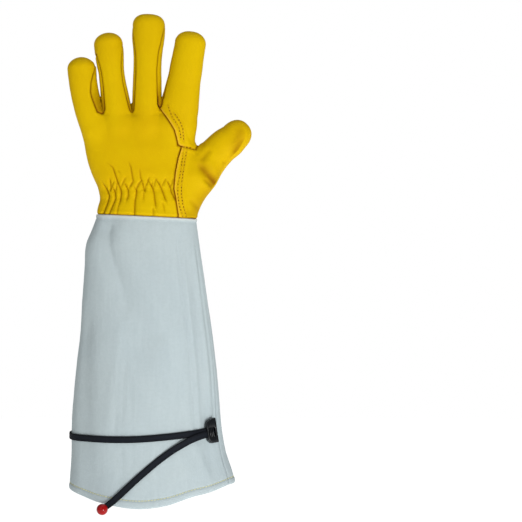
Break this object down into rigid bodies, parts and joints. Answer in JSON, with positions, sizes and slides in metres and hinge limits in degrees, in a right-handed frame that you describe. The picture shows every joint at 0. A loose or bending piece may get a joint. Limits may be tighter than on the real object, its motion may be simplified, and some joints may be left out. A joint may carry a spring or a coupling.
{
  "type": "rose pruning gauntlet",
  "caption": "Left-hand leather gardening gauntlet, as worn: five-finger glove with a long flared forearm cuff, closed by a tape, cinch buckle and pull ball.",
  "frame": {"origin": "middle of the wrist, level with the seam between glove and cuff, where a hand or stand holds it", "axes": "+Z towards the fingertips, -Y out of the back of the hand, +X on the thumb's side"},
  "size_m": [0.1761, 0.109, 0.4739],
  "materials": {
    "grain_leather": "matt smooth grain leather, golden yellow, finely wrinkled",
    "split_leather": "matt suede split leather, pale blue-grey, short nap",
    "tape": "matt flat braided tape, black",
    "buckle_plastic": "black moulded plastic, satin",
    "ball_plastic": "glossy red plastic"
  },
  "bodies": {
    "root": {"back_panel": "grain_leather", "palm_panel": "grain_leather", "thumb_panel": "grain_leather", "fourchette_little_ring": "grain_leather", "fourchette_ring_middle": "grain_leather", "fourchette_middle_index": "grain_leather", "cuff_back": "split_leather", "cuff_palm": "split_leather", "cuff_tape": "tape", "buckle": "buckle_plastic", "tape_tail": "tape", "pull_ball": "ball_plastic"}
  },
  "joints": []
}
